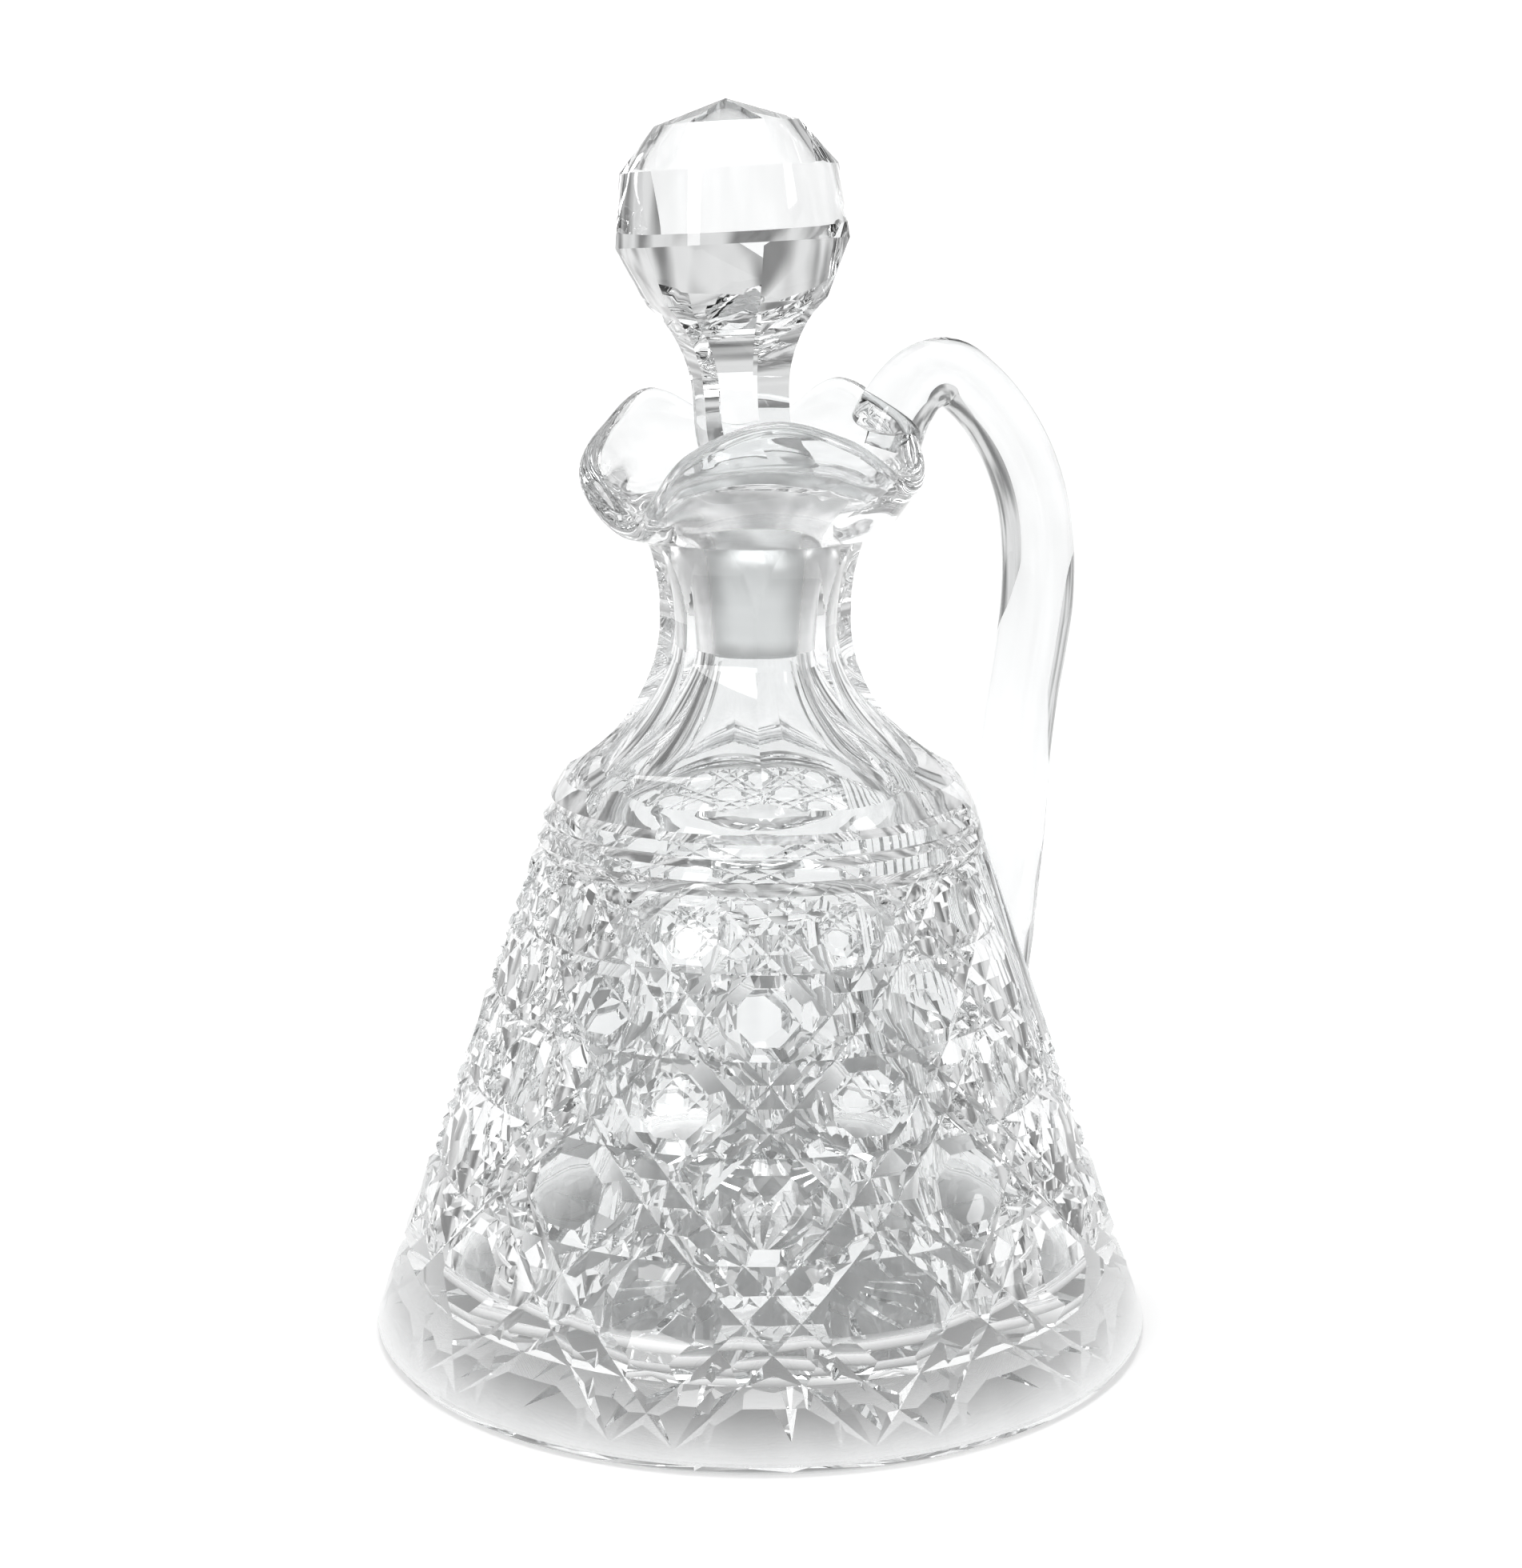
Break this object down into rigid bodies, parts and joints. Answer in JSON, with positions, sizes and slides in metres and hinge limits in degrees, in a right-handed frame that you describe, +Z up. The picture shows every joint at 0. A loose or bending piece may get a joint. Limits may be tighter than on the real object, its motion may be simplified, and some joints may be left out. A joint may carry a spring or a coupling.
{
  "type": "handled cut glass decanter with stopper",
  "caption": "Cone-shaped cut glass decanter with a three-lipped mouth, a round side handle and a faceted ball stopper that lifts out of a ground seat.",
  "frame": {"origin": "centre of the resting plane under the base, on the vessel's own axis", "axes": "+Z up along the neck, +X toward the handle, -X toward the pouring spout"},
  "size_m": [0.1388, 0.1388, 0.2145],
  "materials": {
    "cut_crystal": "polished",
    "ground_crystal": "polished"
  },
  "bodies": {
    "vessel": {"decanter_body": "cut_crystal", "applied_handle": "cut_crystal"},
    "stopper": {"stopper": "cut_crystal"}
  },
  "joints": [
    {"name": "stopper_lift", "type": "slide", "parent": "vessel", "child": "stopper", "axis": [0, 0, 1], "range_m": [0, 0.08]}
  ]
}
